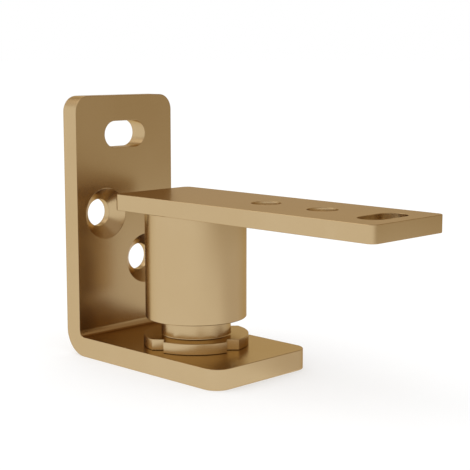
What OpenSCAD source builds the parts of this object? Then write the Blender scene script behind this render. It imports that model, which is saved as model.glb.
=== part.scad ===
// Bottom pivot hinge for a centre-hung swing door.
//
// A folded wall bracket carries an upright spindle whose keyed foot slides in the bracket's
// leg. The notched collar on the leg is the nut of that spindle: turned with a hook spanner,
// it raises or lowers the spindle, and with it the barrel, the strap and the door.
// The barrel turns on a thrust ball bearing, with a plain bush above and one below it.
//
// Frame: the pivot axis is Z, the bracket stands on Z = 0 and the strap runs along +X.

/* [Wall bracket] */
// Width of the folded strip
bracket_w = 32; // [30:0.5:44]
// Thickness of the folded strip
plate_t = 5; // [4.6:0.1:7]
// Height of the wall plate, from the underside of the leg
plate_h = 65.7; // [63:0.1:110]
// Distance from the wall to the pivot axis
axis_to_wall = 31.2; // [27:0.1:45]
// Length of the leg beyond the pivot axis
leg_past_axis = 23.4; // [18:0.2:40]
// Inner radius of the fold
fold_r = 1.6; // [0.5:0.1:3]
// Radius of the wall plate's top corners
plate_corner_r = 4; // [1:0.5:8]
// Radius of the leg's front corners
leg_corner_r = 4; // [1:0.5:8]

/* [Fixing holes] */
// Diameter of the screw holes
hole_d = 7; // [4:0.1:7.6]
// Diameter of the countersinks at the surface
countersink_d = 13; // [8:0.1:13.4]
// Height of the middle of the two wall screws
wall_screw_z = 29.2; // [26:0.2:32]
// Sideways distance between the two wall screws
wall_screw_dy = 13.4; // [12.4:0.2:15]
// Height difference between the two wall screws
wall_screw_dz = 13; // [11:0.2:15]
// Length of the adjusting slots
slot_len = 13.4; // [9:0.1:16]
// Width of the adjusting slots
slot_w = 6.8; // [4.4:0.1:7.6]
// Distance from the plate's top to the middle of its slot
wall_slot_drop = 9.9; // [8:0.1:14]

/* [Door strap] */
// Sideways step between the barrel and the strap's edges
strap_side_step = 0; // [0:0.1:4]
// Thickness of the strap
strap_t = 4; // [3.8:0.1:7]
// Length of the strap behind the barrel
strap_overhang = 3.7; // [0.5:0.1:5.5]
// Length of the strap in front of the pivot axis
strap_front = 64.6; // [63:0.2:120]
// Radius of the strap's corners
strap_corner_r = 1.8; // [0.5:0.1:5]
// Distance from the pivot axis to the first screw hole
strap_hole_x = 23.6; // [20:0.2:25]
// Distance between the two screw holes
strap_hole_pitch = 17; // [14.5:0.5:18]
// Distance from the pivot axis to the strap's slot
strap_slot_x = 57.3; // [53:0.1:58.5]

/* [Barrel] */
// Outer diameter of the barrel
barrel_d = 25; // [24.8:0.1:30]
// Height of the barrel
barrel_h = 26; // [24.5:0.5:45]
// Wall thickness of the barrel
barrel_wall = 1.9; // [1.6:0.1:2]
// Thickness of the barrel's closed top
barrel_roof_t = 3.2; // [2.4:0.1:4.5]
// Edge chamfer of the barrel's mouth
barrel_chamfer = 0.3; // [0.1:0.1:0.6]
// Depth of the lip below the snap ring in the mouth
mouth_lip = 0.8; // [0.6:0.1:1.2]

/* [Notched collar] */
// Diameter of the collar's flange
collar_d = 26; // [25:0.2:30]
// Height of the collar's flange
collar_h = 2.7; // [2.4:0.1:5]
// Number of notches for the hook spanner
notch_count = 4; // [2:1:8]
// Depth of each V-shaped notch
notch_depth = 2.2; // [1:0.1:2.8]
// Edge chamfer of the flange
collar_chamfer = 0.2; // [0.1:0.1:0.5]
// Wall of the collar's hub, from its thread to the neck that shows
hub_wall = 2.6; // [2.2:0.1:3.2]
// Height of the neck between the flange and the barrel
neck_h = 4.3; // [3:0.1:8]

/* [Height adjustment] */
// Travel of the spindle
lift_travel = 2; // [1:0.1:2]
// Radial step from the spindle's thread to its foot
foot_step = 1; // [0.8:0.1:1.5]
// Depth of each of the two flats of the foot
foot_flat_cut = 1; // [0.7:0.1:1.3]
// Length of the foot below its retaining ring
foot_end = 0.5; // [0.4:0.1:0.6]
// Radial width by which the foot's retaining ring stands out
foot_ring_reach = 1.2; // [0.9:0.1:1.4]
// Thickness of the foot's retaining ring
foot_ring_t = 0.75; // [0.6:0.05:0.8]
// Radial width of the washer under the collar
washer_w = 2.3; // [1.6:0.1:2.5]
// Thickness of the washer under the collar
washer_t = 0.6; // [0.4:0.05:1]
// Radial width of the friction ring in the hub
friction_ring_w = 1.25; // [0.8:0.05:1.6]
// Height of the friction ring
friction_ring_h = 1.5; // [1:0.1:2.5]
// Diameter of the collar's lock screw
lock_screw_d = 3; // [2.5:0.1:3.2]

/* [Spindle and thrust bearing] */
// Free space between the spindle's flange and the barrel
flange_clear = 0.7; // [0.4:0.1:1]
// Thickness of the spindle's flange
flange_t = 2; // [1.5:0.1:2.5]
// Radial step from the spindle's thread to its journal
journal_step = 1; // [0.8:0.1:1.3]
// Free space between the journal and the upper race, which is held in the barrel
upper_race_clear = 0.5; // [0.3:0.1:1]
// Thickness of a bearing race
race_t = 1.1; // [0.8:0.1:1.3]
// Number of balls
ball_count = 12; // [8:1:14]
// Diameter of a ball
ball_d = 2.5; // [2.2:0.1:2.7]
// Depth of the ball track in a race
track_depth = 0.25; // [0.15:0.05:0.35]
// Thickness of the ball cage
cage_t = 1; // [0.8:0.1:1.2]

/* [Bushes and rings] */
// Radial width of the lower bush, between the barrel and the hub
lower_bush_w = 1.93; // [1.6:0.01:2.1]
// Height of the lower bush
lower_bush_h = 4.4; // [3.8:0.1:5]
// Height of the spacer ring above the lower bush
spacer_h = 1.15; // [1:0.05:1.6]
// Free space between the spacer ring and the hub
spacer_clear = 0.4; // [0.3:0.05:0.6]
// Radial width of the upper bush, between the barrel and the journal
upper_bush_w = 2.85; // [2.5:0.05:3.1]
// Thickness of the snap ring in the mouth
mouth_ring_t = 0.9; // [0.7:0.1:1.1]
// Radial width of the snap ring in the mouth
mouth_ring_w = 1.6; // [1.2:0.1:1.6]
// Depth of the groove that holds the snap ring
mouth_groove = 0.5; // [0.3:0.1:0.7]
// Cord diameter of the grease seal
seal_cord_d = 0.9; // [0.7:0.05:1]
// Free space between the journal's retaining ring and the bore
journal_ring_clear = 0.9; // [0.4:0.1:1.3]
// Thickness of the journal's retaining ring
journal_ring_t = 0.8; // [0.6:0.05:1]
// Depth of the ring grooves in the spindle
ring_groove = 0.5; // [0.3:0.05:0.6]
// Opening of the retaining rings
ring_gap = 3; // [2:0.2:4]

/* [Strap screws] */
// Number of screws that hold the strap to the barrel
strap_screw_count = 3; // [2:1:4]
// Diameter of those screws
strap_screw_d = 3; // [2.5:0.1:3]
// Diameter of their countersunk heads
strap_screw_head_d = 5.6; // [4.8:0.1:5.8]
// Distance between those heads and the bore's wall
strap_screw_edge = 0.5; // [0.3:0.1:0.9]
// Length of their threads in the strap
strap_screw_grip = 3; // [2.5:0.1:3.2]

/* [Fits] */
// Radial clearance of the running fits
run_fit = 0.05; // [0.03:0.01:0.1]
// Radial clearance of the fixed fits
seat_fit = 0.02; // [0.01:0.01:0.03]
// Face clearance between pieces that move past each other
face_gap = 0.05; // [0.03:0.01:0.1]
// Free space past the ends of hidden pieces
end_gap = 0.3; // [0.2:0.05:0.4]
// Radial free space of the rings and washers round the spindle
side_gap = 0.4; // [0.3:0.05:0.5]

/* [Hidden] */

$fn = 96;
// Overlap of the cutting tools past the faces that they cut
cut = 1;

// Colours
champagne = [0.76, 0.66, 0.48];
bronze = [0.72, 0.50, 0.28];
steel = [0.70, 0.71, 0.73];
nylon = [0.92, 0.91, 0.86];
rubber = [0.12, 0.12, 0.12];

// Visible pieces: diameters, lengths and heights
barrel_bore_d = barrel_d - 2 * barrel_wall;
hub_d = barrel_bore_d - 2 * (seat_fit + lower_bush_w + run_fit);
strap_w = barrel_d + 2 * strap_side_step;
strap_back = barrel_d / 2 + strap_overhang;
wall_slot_z = plate_h - wall_slot_drop;
leg_top = plate_t;
collar_bottom = leg_top + face_gap;
collar_top = leg_top + collar_h;
barrel_z0 = collar_top + neck_h;
barrel_z1 = barrel_z0 + barrel_h;
strap_z1 = barrel_z1 + strap_t;

// Spindle, inwards from the hub
thread_d = hub_d - 2 * hub_wall;
foot_d = thread_d - 2 * foot_step;
foot_flats = foot_d - 2 * foot_flat_cut;
journal_d = thread_d - 2 * journal_step;

// Bearing, bushes and rings
flange_d = barrel_bore_d - 2 * flange_clear;
race_d = flange_d - 2 * run_fit;
ball_circle_d = (journal_d + race_d) / 2;
upper_race_bore_d = journal_d + 2 * upper_race_clear;
upper_bush_d = journal_d + 2 * (run_fit + upper_bush_w);
spacer_bore_d = hub_d + 2 * spacer_clear;
journal_ring_d = upper_bush_d - 2 * journal_ring_clear;
strap_screw_r = upper_bush_d / 2 - strap_screw_head_d / 2 - strap_screw_edge;

// Stack inside the barrel, from its mouth upwards
mouth_ring_z = barrel_z0 + mouth_lip;
lower_bush_z = mouth_ring_z + mouth_ring_t + face_gap;
spacer_z = lower_bush_z + lower_bush_h;
flange_z = spacer_z + spacer_h + face_gap;
hub_top = flange_z - end_gap;
lower_race_z = flange_z + flange_t;
ball_z = lower_race_z + race_t - track_depth + ball_d / 2 + face_gap;
upper_race_z = 2 * ball_z - lower_race_z - race_t;
barrel_step_z = upper_race_z + race_t;
journal_ring_z = barrel_step_z + end_gap;
upper_bush_z = journal_ring_z + journal_ring_t + end_gap;
upper_bore_top = barrel_z1 - barrel_roof_t;
upper_bush_h = upper_bore_top - upper_bush_z - 2 * end_gap;
journal_top = upper_bore_top - 2 * end_gap;

// Height adjustment
foot_ring_d = foot_d + 2 * foot_ring_reach;
foot_recess_d = foot_ring_d + 2 * side_gap;
washer_bore_d = thread_d + 4 * end_gap;
washer_d = washer_bore_d + 2 * washer_w;
washer_recess_d = washer_d + 2 * end_gap;
friction_ring_d = thread_d + 2 * friction_ring_w;
lock_screw_r = (washer_d + collar_d) / 4;
foot_ring_z = foot_end + face_gap;
foot_recess_h = foot_ring_z + foot_ring_t + lift_travel + face_gap;
friction_ring_z = hub_top - friction_ring_h;
washer_recess_h = washer_t;

// Grease seal, in a groove of the lower bush
seal_z = lower_bush_z + lower_bush_h / 3;
seal_mid_r = hub_d / 2 + run_fit + seal_cord_d / 2;
seal_groove_h = seal_cord_d + 2 * face_gap;

// Screws between the barrel and the strap
strap_screw_head_h = (strap_screw_head_d - strap_screw_d) / 2;
strap_screw_len = barrel_roof_t + strap_screw_grip;

// Corners and middles of the flat pieces
fold_outer_r = fold_r + plate_t;
wall_x = -axis_to_wall;
plate_face_x = wall_x + plate_t;
countersink_h = (countersink_d - hole_d) / 2;

// ---------------------------------------------------------------- shared shapes

// Tube from z = 0 upwards
module tube(outer_d, inner_d, h) {
    difference() {
        cylinder(d = outer_d, h = h);
        translate([0, 0, -cut]) cylinder(d = inner_d, h = h + 2 * cut);
    }
}

// Round bar with two flats across Y
module flatted_bar(d, flats, h) {
    intersection() {
        cylinder(d = d, h = h);
        translate([-d, -flats / 2, -cut]) cube([2 * d, flats, h + 2 * cut]);
    }
}

// Outline from x = 0 to len, centred on y, with both far corners rounded
module strip_end(len, w, r) {
    square_w = w - 2 * r;
    translate([0, -w / 2]) square([len - r, w]);
    translate([0, -square_w / 2]) square([len, square_w]);
    for (side = [-1, 1]) translate([len - r, side * square_w / 2]) circle(r = r);
}

// Outline of a slot with round ends, centred and long across y
module slot_outline(len, w) {
    straight = len - w;
    translate([-w / 2, -straight / 2]) square([w, straight]);
    for (side = [-1, 1]) translate([0, side * straight / 2]) circle(d = w);
}

// Screw hole along z through a plate from z = 0 to t, countersunk at z = t
module countersunk_hole(t) {
    translate([0, 0, -cut]) cylinder(d = hole_d, h = t + 2 * cut);
    translate([0, 0, t - countersink_h]) cylinder(d1 = hole_d, d2 = countersink_d, h = countersink_h);
    translate([0, 0, t]) cylinder(d = countersink_d, h = cut);
}

// Retaining ring with an opening towards +X
module open_ring(outer_d, inner_d, t) {
    difference() {
        tube(outer_d, inner_d, t);
        translate([0, -ring_gap / 2, -cut]) cube([outer_d, ring_gap, t + 2 * cut]);
    }
}

// Bearing race from z = 0 upwards, with a ball track round the height track_z
module race(outer_d, inner_d, track_z) {
    difference() {
        tube(outer_d, inner_d, race_t);
        rotate_extrude() translate([ball_circle_d / 2, track_z]) circle(d = ball_d + 2 * face_gap);
    }
}

// Copies its children at the places of the balls
module ball_places() {
    for (i = [0 : ball_count - 1]) {
        rotate(360 * i / ball_count) translate([ball_circle_d / 2, 0, 0]) children();
    }
}

// Copies its children at the places of the strap screws
module strap_screw_places() {
    for (i = [0 : strap_screw_count - 1]) {
        rotate(360 * i / strap_screw_count) translate([strap_screw_r, 0, 0]) children();
    }
}

// Puts its children at the lock screw, between two notches of the collar
module lock_screw_place() {
    rotate(180 / notch_count) translate([lock_screw_r, 0, 0]) children();
}

// ---------------------------------------------------------------- bracket side

// Side view of the folded strip, x outwards and y upwards
module fold_profile() {
    translate([wall_x, fold_outer_r]) square([plate_t, plate_h - fold_outer_r]);
    translate([wall_x + fold_outer_r, 0]) square([axis_to_wall + leg_past_axis - fold_outer_r, plate_t]);
    translate([wall_x + fold_outer_r, fold_outer_r]) intersection() {
        difference() {
            circle(r = fold_outer_r);
            circle(r = fold_r);
        }
        translate([-fold_outer_r, -fold_outer_r]) square(fold_outer_r);
    }
}

// The folded strip with its rounded corners, without holes
module bracket_blank() {
    intersection() {
        translate([0, bracket_w / 2, 0]) rotate([90, 0, 0]) linear_extrude(bracket_w) fold_profile();
        translate([wall_x, 0, 0]) linear_extrude(plate_h) {
            strip_end(axis_to_wall + leg_past_axis, bracket_w, leg_corner_r);
        }
        translate([wall_x, 0, 0]) rotate([0, -90, 180]) {
            linear_extrude(axis_to_wall + leg_past_axis) strip_end(plate_h, bracket_w, plate_corner_r);
        }
    }
}

// Turns a hole along z into one along +X that starts at the wall
module through_wall_plate(y, z) {
    translate([wall_x, y, z]) rotate([0, 90, 0]) children();
}

module wall_bracket() {
    color(champagne) difference() {
        bracket_blank();
        for (side = [-1, 1]) {
            through_wall_plate(side * wall_screw_dy / 2, wall_screw_z - side * wall_screw_dz / 2) {
                countersunk_hole(plate_t);
            }
        }
        through_wall_plate(0, wall_slot_z) translate([0, 0, -cut]) {
            linear_extrude(plate_t + 2 * cut) slot_outline(slot_len, slot_w);
        }
        translate([0, 0, -cut]) flatted_bar(foot_d, foot_flats, plate_t + 2 * cut);
        translate([0, 0, -cut]) cylinder(d = foot_recess_d, h = foot_recess_h + cut);
        translate([0, 0, -cut]) lock_screw_place() {
            cylinder(d = lock_screw_d + 2 * seat_fit, h = plate_t + 2 * cut);
        }
    }
}

module collar_washer() {
    color(steel) translate([0, 0, leg_top]) tube(washer_d, washer_bore_d, washer_t);
}

// Grub screw whose flat point presses on the underside of the collar
module lock_screw() {
    socket_flats = lock_screw_d / 2;
    socket_depth = lock_screw_d / 2;
    color(steel) lock_screw_place() difference() {
        translate([0, 0, end_gap]) cylinder(d = lock_screw_d, h = leg_top - face_gap - end_gap);
        translate([0, 0, end_gap - cut]) {
            cylinder(d = socket_flats / cos(30), h = socket_depth + cut, $fn = 6);
        }
    }
}

// ---------------------------------------------------------------- height adjuster

// Solid flange with chamfered edges, from z = 0 upwards
module flange_blank(d, h, chamfer) {
    rotate_extrude() polygon([
        [0, 0], [d / 2 - chamfer, 0], [d / 2, chamfer],
        [d / 2, h - chamfer], [d / 2 - chamfer, h], [0, h]
    ]);
}

// Right-angled notches whose inner corners lie notch_depth below the rim
module spanner_notches(h) {
    for (i = [0 : notch_count - 1]) {
        rotate(360 * i / notch_count) translate([collar_d / 2 - notch_depth, 0, -cut]) {
            rotate(-45) cube([2 * notch_depth, 2 * notch_depth, h + 2 * cut]);
        }
    }
}

module notched_collar() {
    flange_h = collar_top - collar_bottom;
    color(champagne) difference() {
        union() {
            translate([0, 0, collar_bottom]) difference() {
                flange_blank(collar_d, flange_h, collar_chamfer);
                spanner_notches(flange_h);
            }
            translate([0, 0, collar_bottom]) cylinder(d = hub_d, h = hub_top - collar_bottom);
        }
        translate([0, 0, -cut]) cylinder(d = thread_d + 2 * run_fit, h = hub_top + 2 * cut);
        translate([0, 0, collar_bottom - cut]) {
            cylinder(d = washer_recess_d, h = washer_recess_h + cut);
        }
        translate([0, 0, friction_ring_z]) cylinder(d = friction_ring_d + 2 * seat_fit, h = friction_ring_h + cut);
    }
}

// Nylon ring that grips the thread, so that the collar stays where it is turned to
module friction_ring() {
    color(nylon) translate([0, 0, friction_ring_z]) {
        tube(friction_ring_d, thread_d + 2 * run_fit, friction_ring_h - face_gap);
    }
}

// ---------------------------------------------------------------- spindle

// Threaded post with a keyed foot, a flange for the bearing and a journal for the upper bush
module spindle() {
    foot_z = face_gap;
    thread_z = leg_top + end_gap;
    journal_chamfer = ring_groove;
    color(steel) difference() {
        union() {
            translate([0, 0, foot_z]) {
                flatted_bar(foot_d - 2 * run_fit, foot_flats - 2 * run_fit, thread_z - foot_z);
            }
            translate([0, 0, thread_z]) cylinder(d = thread_d, h = flange_z - thread_z);
            translate([0, 0, flange_z]) cylinder(d = flange_d, h = flange_t);
            translate([0, 0, lower_race_z]) {
                cylinder(d = journal_d, h = journal_top - journal_chamfer - lower_race_z);
            }
            translate([0, 0, journal_top - journal_chamfer]) {
                cylinder(d1 = journal_d, d2 = journal_d - 2 * journal_chamfer, h = journal_chamfer);
            }
        }
        translate([0, 0, foot_ring_z - face_gap]) {
            tube(foot_d + cut, foot_d - 2 * run_fit - 2 * ring_groove, foot_ring_t + 2 * face_gap);
        }
        translate([0, 0, journal_ring_z - face_gap]) {
            tube(journal_d + cut, journal_d - 2 * ring_groove, journal_ring_t + 2 * face_gap);
        }
    }
}

module foot_ring() {
    color(steel) translate([0, 0, foot_ring_z]) {
        open_ring(foot_ring_d, foot_d - 2 * ring_groove, foot_ring_t);
    }
}

module journal_ring() {
    color(steel) translate([0, 0, journal_ring_z]) {
        open_ring(journal_ring_d, journal_d - 2 * ring_groove + 2 * run_fit, journal_ring_t);
    }
}

module lower_race() {
    color(steel) translate([0, 0, lower_race_z]) {
        race(race_d, journal_d + 2 * seat_fit, ball_z - lower_race_z);
    }
}

module ball_cage() {
    cage_bore_d = journal_d + 4 * end_gap;
    color(bronze) translate([0, 0, ball_z - cage_t / 2]) difference() {
        tube(race_d - end_gap, cage_bore_d, cage_t);
        ball_places() translate([0, 0, -cut]) cylinder(d = ball_d + 2 * run_fit, h = cage_t + 2 * cut, $fn = 32);
    }
}

module bearing_balls() {
    color(steel) translate([0, 0, ball_z]) ball_places() sphere(d = ball_d, $fn = 32);
}

// ---------------------------------------------------------------- door side

module barrel() {
    color(champagne) difference() {
        translate([0, 0, barrel_z0]) rotate_extrude() polygon([
            [0, 0], [barrel_d / 2 - barrel_chamfer, 0], [barrel_d / 2, barrel_chamfer],
            [barrel_d / 2, barrel_h], [0, barrel_h]
        ]);
        translate([0, 0, barrel_z0 - cut]) {
            cylinder(d = barrel_bore_d, h = barrel_step_z - barrel_z0 + cut);
        }
        translate([0, 0, barrel_z0]) {
            cylinder(d = upper_bush_d + 2 * seat_fit, h = upper_bore_top - barrel_z0);
        }
        translate([0, 0, mouth_ring_z - face_gap]) {
            cylinder(d = barrel_bore_d + 2 * mouth_groove, h = mouth_ring_t + 2 * face_gap);
        }
        translate([0, 0, upper_bore_top]) strap_screw_places() {
            translate([0, 0, -cut]) cylinder(d = strap_screw_d + 2 * run_fit, h = barrel_roof_t + 2 * cut);
            cylinder(
                d1 = strap_screw_head_d + 2 * run_fit,
                d2 = strap_screw_d + 2 * run_fit,
                h = strap_screw_head_h
            );
        }
    }
}

// Countersunk screws that enter the strap from inside the barrel
module strap_screws() {
    socket_flats = strap_screw_d * 2 / 3;
    socket_depth = strap_screw_head_h * 0.8;
    color(steel) translate([0, 0, upper_bore_top]) strap_screw_places() difference() {
        union() {
            cylinder(d = strap_screw_d, h = strap_screw_len);
            cylinder(d1 = strap_screw_head_d, d2 = strap_screw_d, h = strap_screw_head_h);
        }
        translate([0, 0, -cut]) {
            cylinder(d = socket_flats / cos(30), h = socket_depth + cut, $fn = 6);
        }
    }
}

module door_strap() {
    color(champagne) difference() {
        translate([0, 0, barrel_z1]) linear_extrude(strap_t) {
            strip_end(strap_front, strap_w, strap_corner_r);
            rotate(180) strip_end(strap_back, strap_w, strap_corner_r);
        }
        for (i = [0, 1]) {
            translate([strap_hole_x + i * strap_hole_pitch, 0, strap_z1]) mirror([0, 0, 1]) {
                countersunk_hole(strap_t);
            }
        }
        translate([strap_slot_x, 0, barrel_z1 - cut]) {
            linear_extrude(strap_t + 2 * cut) slot_outline(slot_len, slot_w);
        }
        translate([0, 0, barrel_z1 - cut]) strap_screw_places() {
            cylinder(d = strap_screw_d + 2 * seat_fit, h = strap_screw_grip + face_gap + cut);
        }
    }
}

module upper_race() {
    color(steel) translate([0, 0, upper_race_z]) {
        race(barrel_bore_d - 2 * seat_fit, upper_race_bore_d, ball_z - upper_race_z);
    }
}

module upper_bush() {
    color(bronze) translate([0, 0, upper_bush_z]) {
        tube(upper_bush_d, journal_d + 2 * run_fit, upper_bush_h);
    }
}

module spacer_ring() {
    color(steel) translate([0, 0, spacer_z]) {
        tube(barrel_bore_d - 2 * seat_fit, spacer_bore_d, spacer_h);
    }
}

module lower_bush() {
    color(bronze) difference() {
        translate([0, 0, lower_bush_z]) {
            tube(barrel_bore_d - 2 * seat_fit, hub_d + 2 * run_fit, lower_bush_h);
        }
        translate([0, 0, seal_z - seal_groove_h / 2]) {
            cylinder(d = 2 * seal_mid_r + seal_cord_d + 2 * seat_fit, h = seal_groove_h);
        }
    }
}

// Snap ring in the barrel's mouth, which keeps the bushes and the spindle in
module mouth_ring() {
    outer_d = barrel_bore_d + 2 * mouth_groove - 2 * run_fit;
    color(steel) translate([0, 0, mouth_ring_z]) {
        open_ring(outer_d, outer_d - 2 * mouth_ring_w, mouth_ring_t);
    }
}

module grease_seal() {
    color(rubber) translate([0, 0, seal_z]) rotate_extrude() {
        translate([seal_mid_r, 0]) circle(d = seal_cord_d, $fn = 24);
    }
}

wall_bracket();
collar_washer();
lock_screw();
notched_collar();
friction_ring();
spindle();
foot_ring();
lower_race();
journal_ring();
ball_cage();
bearing_balls();
barrel();
door_strap();
strap_screws();
upper_race();
upper_bush();
spacer_ring();
lower_bush();
mouth_ring();
grease_seal();
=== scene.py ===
"""Bottom pivot hinge for a centre-hung swing door: fine forms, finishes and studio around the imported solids.

The hinge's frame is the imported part's: the pivot axis is Z, the bracket stands on Z = 0 and the door strap
runs along +X. Lengths are in metres. Every finished piece lies at the origin with its place in its mesh.
"""

import logging
import math
from collections.abc import Callable, Iterable, Sequence
from dataclasses import dataclass, field
from enum import Enum

import bmesh
import bpy
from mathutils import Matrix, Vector

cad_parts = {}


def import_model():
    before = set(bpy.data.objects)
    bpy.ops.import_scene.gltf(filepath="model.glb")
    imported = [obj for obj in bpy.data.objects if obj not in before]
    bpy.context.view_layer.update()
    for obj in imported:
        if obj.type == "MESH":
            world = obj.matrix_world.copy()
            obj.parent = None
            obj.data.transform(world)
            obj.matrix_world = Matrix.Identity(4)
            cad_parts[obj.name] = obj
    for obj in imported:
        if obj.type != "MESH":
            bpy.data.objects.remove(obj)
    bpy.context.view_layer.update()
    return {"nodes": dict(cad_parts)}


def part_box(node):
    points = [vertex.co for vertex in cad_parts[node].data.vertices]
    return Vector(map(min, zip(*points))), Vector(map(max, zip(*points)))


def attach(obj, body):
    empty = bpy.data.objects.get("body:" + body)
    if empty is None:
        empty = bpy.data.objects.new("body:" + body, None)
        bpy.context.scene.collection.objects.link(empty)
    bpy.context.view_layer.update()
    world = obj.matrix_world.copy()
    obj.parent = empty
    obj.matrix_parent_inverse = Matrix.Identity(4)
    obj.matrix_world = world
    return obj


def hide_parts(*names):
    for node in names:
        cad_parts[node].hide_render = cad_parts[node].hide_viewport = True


log = logging.getLogger("pivot_hinge")

MM = 0.001
# Points closer than this are one point: first in a new shell, then in a finished piece.
WELD = 0.0002 * MM
FINE_WELD = 0.0001 * MM
# Edges that turn more than this stay sharp.
SHARP_ANGLE = math.radians(40.0)
# A Mix node's sockets for colours: its two inputs and its result.
MIX_FIRST, MIX_SECOND, MIX_RESULT = 6, 7, 2
# The value that fractal noise varies around.
NOISE_MIDDLE = 0.5

Point2 = tuple[float, float]
Point3 = tuple[float, float, float]
Colour = tuple[float, float, float]
Loop = list[Vector]
Outline = Callable[[float], list[Point2]]
Settings = dict[str, object]
Inputs = dict[str | int, object]

WHITE: Colour = (1.0, 1.0, 1.0)


class Body(str, Enum):
    """The rigid bodies of the hinge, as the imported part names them."""

    BRACKET = "bracket_side"
    ADJUSTER = "adjuster"
    SPINDLE = "spindle_side"
    BALLS = "ball_set"
    DOOR = "door_side"


class Slot(str, Enum):
    """The record's material slots."""

    CHAMPAGNE = "champagne_metal"
    STEEL = "bright_steel"
    BRONZE = "bearing_bronze"
    NYLON = "nylon"
    RUBBER = "seal_rubber"


# ---------------------------------------------------------------- nodes and shader maths


class Val:
    """A number that varies over a surface: a node's output that builds Math nodes from Python operators."""

    def __init__(self, shader: "Shader", socket: bpy.types.NodeSocket) -> None:
        """Wraps a socket.

        Args:
            shader: The material whose tree holds the socket.
            socket: The output that carries the number.
        """
        self.shader = shader
        self.socket = socket

    def _math(self, operation: str, *operands: "Val | float") -> "Val":
        """Adds one Math node.

        Args:
            operation: The Math node's operation.
            *operands: Its inputs, in order.

        Returns:
            The node's result.
        """
        return self.shader.node("ShaderNodeMath", {"operation": operation}, dict(enumerate(operands)))

    def __add__(self, other: "Val | float") -> "Val":
        """Sum."""
        return self._math("ADD", self, other)

    def __radd__(self, other: float) -> "Val":
        """Sum with a plain number on the left."""
        return self._math("ADD", other, self)

    def __sub__(self, other: "Val | float") -> "Val":
        """Difference."""
        return self._math("SUBTRACT", self, other)

    def __rsub__(self, other: float) -> "Val":
        """Difference from a plain number."""
        return self._math("SUBTRACT", other, self)

    def __mul__(self, other: "Val | float") -> "Val":
        """Product."""
        return self._math("MULTIPLY", self, other)

    def __rmul__(self, other: float) -> "Val":
        """Product with a plain number on the left."""
        return self._math("MULTIPLY", other, self)

    def __truediv__(self, other: "Val | float") -> "Val":
        """Quotient."""
        return self._math("DIVIDE", self, other)

    def __rtruediv__(self, other: float) -> "Val":
        """Quotient of a plain number by this one."""
        return self._math("DIVIDE", other, self)

    def __pow__(self, other: "Val | float") -> "Val":
        """Power."""
        return self._math("POWER", self, other)

    def step(self, low: float, high: float) -> "Val":
        """Smooth step.

        Args:
            low: The value at which the result is 0.
            high: The value at which the result is 1.

        Returns:
            A number from 0 to 1.
        """
        inputs: Inputs = {"Value": self, "From Min": low, "From Max": high}
        return self.shader.node("ShaderNodeMapRange", {"interpolation_type": "SMOOTHSTEP"}, inputs)


def add_node(tree: bpy.types.NodeTree, kind: str, settings: Settings, inputs: Inputs) -> bpy.types.Node:
    """Adds a node to a tree.

    Args:
        tree: The tree.
        kind: The node's type.
        settings: Its properties, set before its inputs.
        inputs: Values, or sockets and Vals to link, by socket name or number.

    Returns:
        The node.
    """
    made = tree.nodes.new(kind)
    for key, value in settings.items():
        setattr(made, key, value)
    for key, value in inputs.items():
        source = value.socket if isinstance(value, Val) else value
        if isinstance(source, bpy.types.NodeSocket):
            tree.links.new(source, made.inputs[key])
        else:
            made.inputs[key].default_value = source
    return made


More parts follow.
